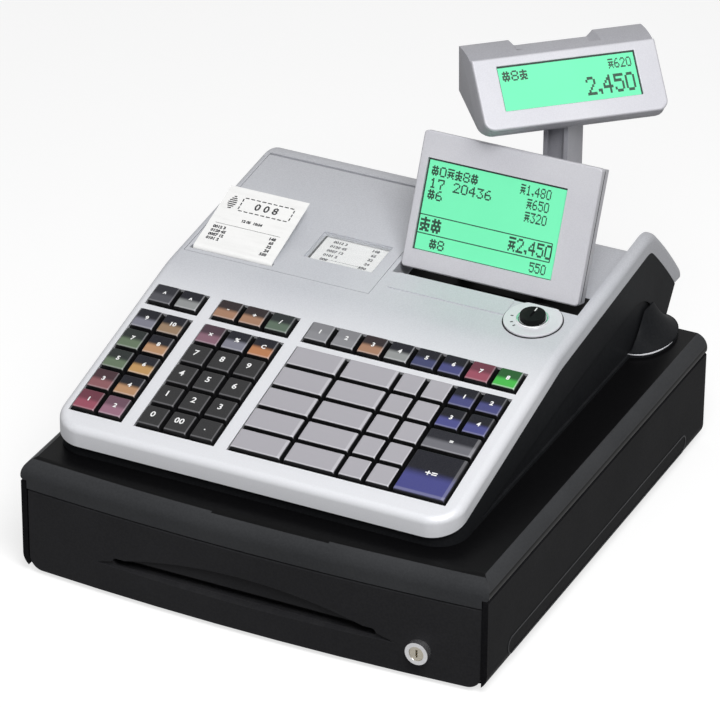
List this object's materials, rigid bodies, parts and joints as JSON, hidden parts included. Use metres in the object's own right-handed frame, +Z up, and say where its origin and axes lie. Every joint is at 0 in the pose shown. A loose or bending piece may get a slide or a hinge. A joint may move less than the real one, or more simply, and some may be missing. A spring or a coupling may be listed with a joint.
{
  "type": "ticket register",
  "caption": "Electronic cash register: sloping keyboard and twin printers on a black cash drawer, with tilting clerk display and turning customer display.",
  "frame": {"origin": "centre of the overall box, on the surface that the feet stand on", "axes": "+X to the clerk's right, +Y from the drawer front towards the rear, +Z up"},
  "size_m": [0.4108, 0.4865, 0.3581],
  "materials": {
    "black_metal": "satin black paint",
    "black_plastic": "fine-grained black moulding",
    "silver_plastic": "silver-grey lacquer",
    "white_plastic": "natural acetal",
    "rubber": "matt",
    "steel": "zinc-plated sheet",
    "lit_screen": "back-lit green",
    "clear_pane": "clear",
    "paper": "white thermal paper",
    "circuit_board": "solder mask",
    "transformer_iron": "varnished laminations",
    "lock_chrome": "polished",
    "dark_keys": "moulded caps",
    "grey_keys": "moulded caps",
    "orange_keys": "moulded caps",
    "blue_keys": "moulded caps"
  },
  "bodies": {
    "register": {"drawer_case": "black_metal", "drawer_top_cover": "black_plastic", "rubber_feet": "rubber", "drawer_rails": "steel", "release_solenoid": "steel", "base_case": "black_plastic", "top_cover": "silver_plastic", "key_bed": "black_plastic", "main_board": "circuit_board", "power_transformer": "transformer_iron", "cord_gland": "black_plastic", "receipt_printer": "steel", "journal_printer": "steel", "paper_guide": "white_plastic", "journal_paper": "paper", "mode_plate": "silver_plastic", "display_bracket": "steel", "mast_sleeve": "silver_plastic"},
    "drawer": {"drawer_tray": "steel", "drawer_front": "black_plastic", "lock_bezel": "lock_chrome", "coin_tray": "black_plastic"},
    "lock": {"lock_cylinder": "lock_chrome"},
    "roller_left": {"drawer_roller_left": "white_plastic"},
    "roller_right": {"drawer_roller_right": "white_plastic"},
    "release_hook": {"latch_hook": "steel"},
    "printer_lid": {"printer_cover": "silver_plastic", "journal_window": "clear_pane", "receipt_paper": "paper"},
    "receipt_feed": {"receipt_platen": "rubber"},
    "journal_feed": {"journal_platen": "rubber"},
    "receipt_supply": {"receipt_roll": "paper"},
    "journal_supply": {"journal_roll": "paper"},
    "journal_takeup": {"takeup_reel": "white_plastic"},
    "mode_key": {"mode_rotor": "black_plastic"},
    "clerk_display": {"display_bezel": "silver_plastic", "display_lcd": "lit_screen", "display_shell": "silver_plastic"},
    "mast_body": {"mast": "silver_plastic"},
    "customer_display": {"head_shell": "silver_plastic", "head_bezel": "silver_plastic", "head_lcd": "lit_screen"},
    "clip_1": {"bill_clip_1": "steel"},
    "clip_2": {"bill_clip_2": "steel"},
    "clip_3": {"bill_clip_3": "steel"},
    "clip_4": {"bill_clip_4": "steel"},
    "keys_department_body": {"keys_department": "grey_keys"},
    "keys_item_body": {"keys_item": "grey_keys"},
    "keys_payment_body": {"keys_payment": "blue_keys"},
    "key_subtotal_body": {"key_subtotal": "dark_keys"},
    "key_total_body": {"key_total": "blue_keys"},
    "keys_clerk_body": {"keys_clerk": "orange_keys"},
    "keys_multiplier_body": {"keys_multiplier": "orange_keys"},
    "keys_number_body": {"keys_number": "dark_keys"},
    "keys_zero_body": {"keys_zero": "dark_keys"},
    "keys_paper_feed_body": {"keys_paper_feed": "dark_keys"},
    "keys_correction_body": {"keys_correction": "orange_keys"},
    "keys_function_body": {"keys_function": "grey_keys"}
  },
  "joints": [
    {"name": "drawer_slide", "type": "slide", "parent": "register", "child": "drawer", "axis": [0, -1, 0], "range_m": [0, 0.28]},
    {"name": "lock_turn", "type": "hinge", "parent": "drawer", "child": "lock", "pos_m": [0.149, -0.2247, 0.028], "axis": [0, 1, 0], "range_deg": [0, 90]},
    {"name": "roller_left_spin", "type": "hinge", "parent": "drawer", "child": "roller_left", "pos_m": [-0.191, 0.1453, 0.05], "axis": [1, 0, 0], "continuous": true},
    {"name": "roller_right_spin", "type": "hinge", "parent": "drawer", "child": "roller_right", "pos_m": [0.191, 0.1453, 0.05], "axis": [1, 0, 0], "continuous": true},
    {"name": "release_hook_turn", "type": "hinge", "parent": "register", "child": "release_hook", "pos_m": [0, 0.1883, 0.077], "axis": [-1, 0, 0], "range_deg": [-15, 5]},
    {"name": "lid_hinge", "type": "hinge", "parent": "register", "child": "printer_lid", "pos_m": [-0.10075, 0.16347, 0.19489], "axis": [-1, 0, 0], "range_deg": [0, 75]},
    {"name": "receipt_feed_spin", "type": "hinge", "parent": "register", "child": "receipt_feed", "pos_m": [-0.1445, 0.0263, 0.16486], "axis": [1, 0, 0], "continuous": true},
    {"name": "journal_feed_spin", "type": "hinge", "parent": "register", "child": "journal_feed", "pos_m": [-0.058, 0.0263, 0.16486], "axis": [1, 0, 0], "continuous": true},
    {"name": "receipt_supply_spin", "type": "hinge", "parent": "register", "child": "receipt_supply", "pos_m": [-0.1445, 0.1093, 0.143], "axis": [1, 0, 0], "continuous": true},
    {"name": "journal_supply_spin", "type": "hinge", "parent": "register", "child": "journal_supply", "pos_m": [-0.058, 0.1093, 0.143], "axis": [1, 0, 0], "continuous": true},
    {"name": "takeup_spin", "type": "hinge", "parent": "register", "child": "journal_takeup", "pos_m": [-0.058, 0.0523, 0.16186], "axis": [1, 0, 0], "continuous": true},
    {"name": "mode_turn", "type": "hinge", "parent": "register", "child": "mode_key", "pos_m": [0.123, 0.0247, 0.18279], "axis": [0, -0.1097, 0.994], "range_deg": [-90, 90]},
    {"name": "clerk_display_tilt", "type": "hinge", "parent": "register", "child": "clerk_display", "pos_m": [0.0687, 0.08661, 0.1886], "axis": [1, 0, 0], "range_deg": [-10, 20]},
    {"name": "mast_slide", "type": "slide", "parent": "register", "child": "mast_body", "axis": [0, 0, 1], "range_m": [-0.01, 0]},
    {"name": "customer_display_turn", "type": "hinge", "parent": "mast_body", "child": "customer_display", "pos_m": [0.0894, 0.1533, 0.3079], "axis": [0, 0, 1], "range_deg": [-42.5, 137.5]},
    {"name": "clip_1_hinge", "type": "hinge", "parent": "drawer", "child": "clip_1", "pos_m": [-0.13987, 0.1313, 0.048], "axis": [-1, 0, 0], "range_deg": [0, 30], "stiffness_Nm_per_rad": 0.1, "springref_deg": -20.05},
    {"name": "clip_2_hinge", "type": "hinge", "parent": "drawer", "child": "clip_2", "pos_m": [-0.04662, 0.1313, 0.048], "axis": [-1, 0, 0], "range_deg": [0, 30], "stiffness_Nm_per_rad": 0.1, "springref_deg": -20.05},
    {"name": "clip_3_hinge", "type": "hinge", "parent": "drawer", "child": "clip_3", "pos_m": [0.04662, 0.1313, 0.048], "axis": [-1, 0, 0], "range_deg": [0, 30], "stiffness_Nm_per_rad": 0.1, "springref_deg": -20.05},
    {"name": "clip_4_hinge", "type": "hinge", "parent": "drawer", "child": "clip_4", "pos_m": [0.13987, 0.1313, 0.048], "axis": [-1, 0, 0], "range_deg": [0, 30], "stiffness_Nm_per_rad": 0.1, "springref_deg": -20.05},
    {"name": "keys_department_press", "type": "slide", "parent": "register", "child": "keys_department_body", "axis": [0, 0.2453, -0.9694], "range_m": [0, 0.0035], "stiffness_N_per_m": 1600, "springref_m": -0.003},
    {"name": "keys_item_press", "type": "slide", "parent": "register", "child": "keys_item_body", "axis": [0, 0.2453, -0.9694], "range_m": [0, 0.0035], "stiffness_N_per_m": 1600, "springref_m": -0.003},
    {"name": "keys_payment_press", "type": "slide", "parent": "register", "child": "keys_payment_body", "axis": [0, 0.2453, -0.9694], "range_m": [0, 0.0035], "stiffness_N_per_m": 640, "springref_m": -0.003},
    {"name": "key_subtotal_press", "type": "slide", "parent": "register", "child": "key_subtotal_body", "axis": [0, 0.2453, -0.9694], "range_m": [0, 0.0035], "stiffness_N_per_m": 160, "springref_m": -0.003},
    {"name": "key_total_press", "type": "slide", "parent": "register", "child": "key_total_body", "axis": [0, 0.2453, -0.9694], "range_m": [0, 0.0035], "stiffness_N_per_m": 320, "springref_m": -0.003},
    {"name": "keys_clerk_press", "type": "slide", "parent": "register", "child": "keys_clerk_body", "axis": [0, 0.2453, -0.9694], "range_m": [0, 0.0035], "stiffness_N_per_m": 1600, "springref_m": -0.003},
    {"name": "keys_multiplier_press", "type": "slide", "parent": "register", "child": "keys_multiplier_body", "axis": [0, 0.2453, -0.9694], "range_m": [0, 0.0035], "stiffness_N_per_m": 480, "springref_m": -0.003},
    {"name": "keys_number_press", "type": "slide", "parent": "register", "child": "keys_number_body", "axis": [0, 0.2453, -0.9694], "range_m": [0, 0.0035], "stiffness_N_per_m": 1440, "springref_m": -0.003},
    {"name": "keys_zero_press", "type": "slide", "parent": "register", "child": "keys_zero_body", "axis": [0, 0.2453, -0.9694], "range_m": [0, 0.0035], "stiffness_N_per_m": 480, "springref_m": -0.003},
    {"name": "keys_paper_feed_press", "type": "slide", "parent": "register", "child": "keys_paper_feed_body", "axis": [0, 0.2453, -0.9694], "range_m": [0, 0.0035], "stiffness_N_per_m": 320, "springref_m": -0.003},
    {"name": "keys_correction_press", "type": "slide", "parent": "register", "child": "keys_correction_body", "axis": [0, 0.2453, -0.9694], "range_m": [0, 0.0035], "stiffness_N_per_m": 480, "springref_m": -0.003},
    {"name": "keys_function_press", "type": "slide", "parent": "register", "child": "keys_function_body", "axis": [0, 0.2453, -0.9694], "range_m": [0, 0.0035], "stiffness_N_per_m": 1280, "springref_m": -0.003}
  ]
}
